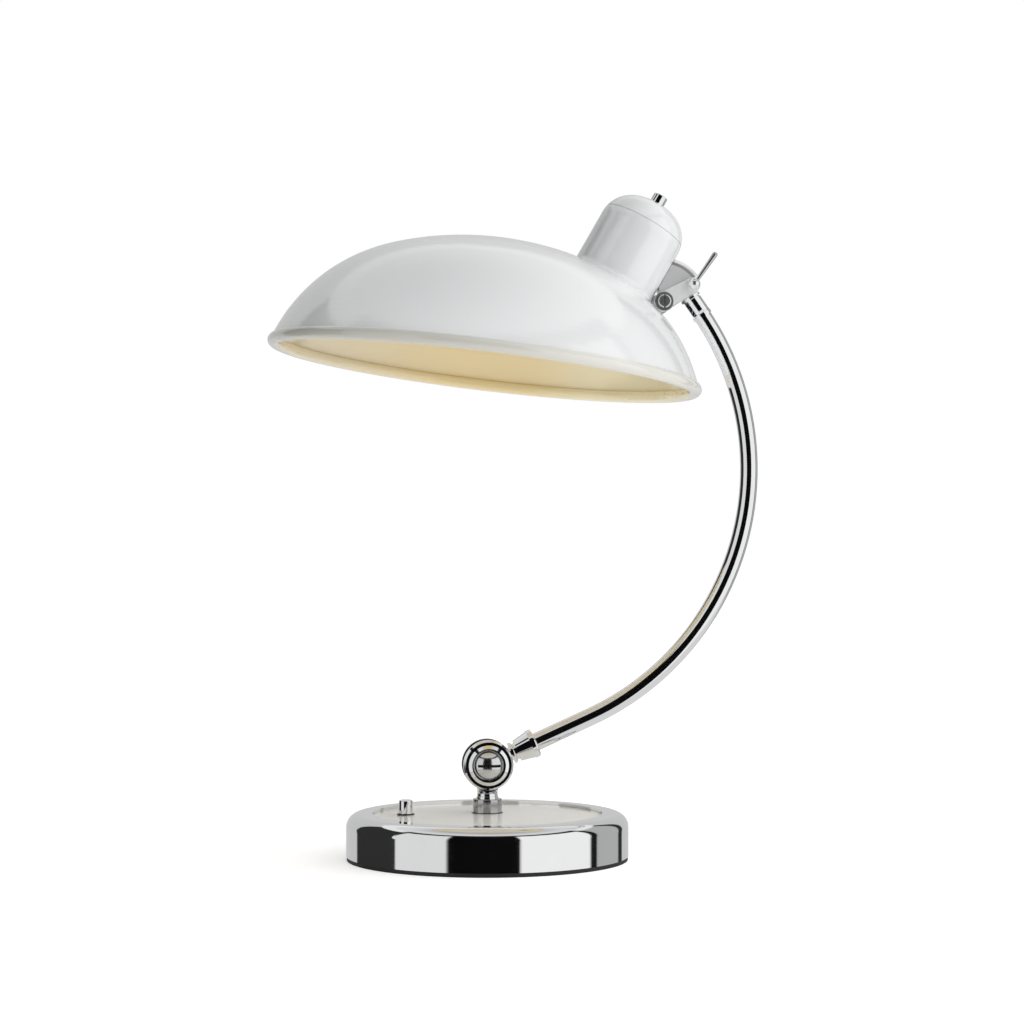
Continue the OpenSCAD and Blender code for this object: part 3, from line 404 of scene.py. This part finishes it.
def make_floor():
    mesh = bpy.data.meshes.new("floor")
    r = FLOOR_HALF
    mesh.from_pydata([(-r, -r, 0), (r, -r, 0), (r, r, 0), (-r, r, 0)], [], [(0, 1, 2, 3)])
    obj = bpy.data.objects.new("floor", mesh)
    scene.collection.objects.link(obj)
    m = bpy.data.materials.new("floor")
    m.use_nodes = True
    t = Tree(m.node_tree)
    out = t.node("ShaderNodeOutputMaterial")
    path = t.node("ShaderNodeLightPath")
    diffuse = t.node("ShaderNodeBsdfDiffuse")
    t.put(diffuse.inputs["Color"], grey(FLOOR_COLOUR))
    glow = t.node("ShaderNodeEmission")
    t.put(glow.inputs["Color"], grey(1.0))
    for_camera = t.math("MULTIPLY", path.outputs["Is Camera Ray"], CAMERA_GLOW)
    t.put(glow.inputs["Strength"], t.math("ADD", for_camera, FLOOR_GLOW))
    lit = t.node("ShaderNodeAddShader")
    t.put(lit.inputs[0], diffuse.outputs[0])
    t.put(lit.inputs[1], glow.outputs[0])
    clear = t.node("ShaderNodeBsdfTransparent")
    above = t.blend(path.outputs["Is Glossy Ray"], lit.outputs[0], clear.outputs[0])
    # seen from under, the floor is clear, so that the base and the inside of the shade show
    backface = t.node("ShaderNodeNewGeometry").outputs["Backfacing"]
    t.put(out.inputs[0], t.blend(backface, above, clear.outputs[0]))
    mesh.materials.append(m)


make_floor()


# ---- the studio: white panels and dark gaps all round, which the chrome shows ----
# Each runs from one azimuth to another, in degrees with the camera's own direction as 0, at a brightness
PANELS = [(-180, -132, 0.60), (-131, -80, 0.03), (-79, -33, 0.80), (-32, 26, 0.003), (27, 91, 0.98),
          (92, 99, 0.01), (100, 132, 0.46), (133, 141, 0.03), (142, 180, 0.60)]
CAMERA_AZIMUTH = 5.37
# Over the panels a dark beam in front and the bright edge of the ceiling behind, then the ceiling.
# Heights run from -1 straight down to 1 straight up.
BEAM_STARTS, CEILING_STARTS, TABLE_ENDS = (0.43, 0.45), (0.52, 0.56), (-0.32, -0.22)
BEAM_TURNS_BRIGHT = (-0.02, 0.12)
DARK_BEAM, BRIGHT_BEAM, TABLE = 0.02, 0.9, 0.75
CEILING = [(0.0, 0.75), (0.62, 0.75), (0.80, 0.45), (1.0, 0.30)]
# Soft light for the lacquer: a large source to the camera's right, the left side left dimmer
SOFT_SLOPE, SOFT_MIDDLE, SOFT_LEAST = (0.96, -0.27, 0.26), 0.55, 0.05


def panel_stops():
    stops = []
    for first, last, value in PANELS:
        stops += [((first + 180.0) / 360.0, value), ((last + 180.0) / 360.0, value)]
    return stops


def mirrored_room(t, x, y, z):
    """What the chrome and the gloss of the lacquer show."""
    turn = t.math("ARCTAN2", x, t.math("MULTIPLY", y, -1.0))
    turn = t.math("ADD", t.math("MULTIPLY", turn, 1.0 / (2.0 * math.pi)), 0.5 + CAMERA_AZIMUTH / 360.0)
    height = t.math("DIVIDE", t.math("ARCSINE", z), math.pi / 2.0)
    ring = t.ramp(t.math("FRACT", turn), panel_stops())
    beam = t.mix(t.smooth(y, *BEAM_TURNS_BRIGHT), grey(DARK_BEAM), grey(BRIGHT_BEAM))
    walls = t.mix(t.smooth(height, *BEAM_STARTS), ring, beam)
    walls = t.mix(t.smooth(height, *CEILING_STARTS), walls, t.ramp(height, CEILING))
    return t.mix(t.smooth(height, *TABLE_ENDS), grey(TABLE), walls)


def soft_light(t, x, y, z):
    side = t.math("ADD", t.math("MULTIPLY", x, SOFT_SLOPE[0]), t.math("MULTIPLY", y, SOFT_SLOPE[1]))
    side = t.math("ADD", side, t.math("MULTIPLY", z, SOFT_SLOPE[2]))
    return t.math("MAXIMUM", t.math("ADD", side, SOFT_MIDDLE), SOFT_LEAST)


def make_world():
    world = bpy.data.worlds.new("studio")
    scene.world = world
    world.use_nodes = True
    t = Tree(world.node_tree)
    out = t.node("ShaderNodeOutputWorld")
    back = t.node("ShaderNodeBackground")
    path = t.node("ShaderNodeLightPath")
    x, y, z = t.xyz(t.node("ShaderNodeTexCoord").outputs["Generated"])
    colour = t.mix(path.outputs["Is Glossy Ray"], soft_light(t, x, y, z), mirrored_room(t, x, y, z))
    colour = t.mix(path.outputs["Is Camera Ray"], colour, grey(1.0))
    t.put(back.inputs["Color"], colour)
    back.inputs["Strength"].default_value = 1.0
    t.put(out.inputs[0], back.outputs[0])


make_world()
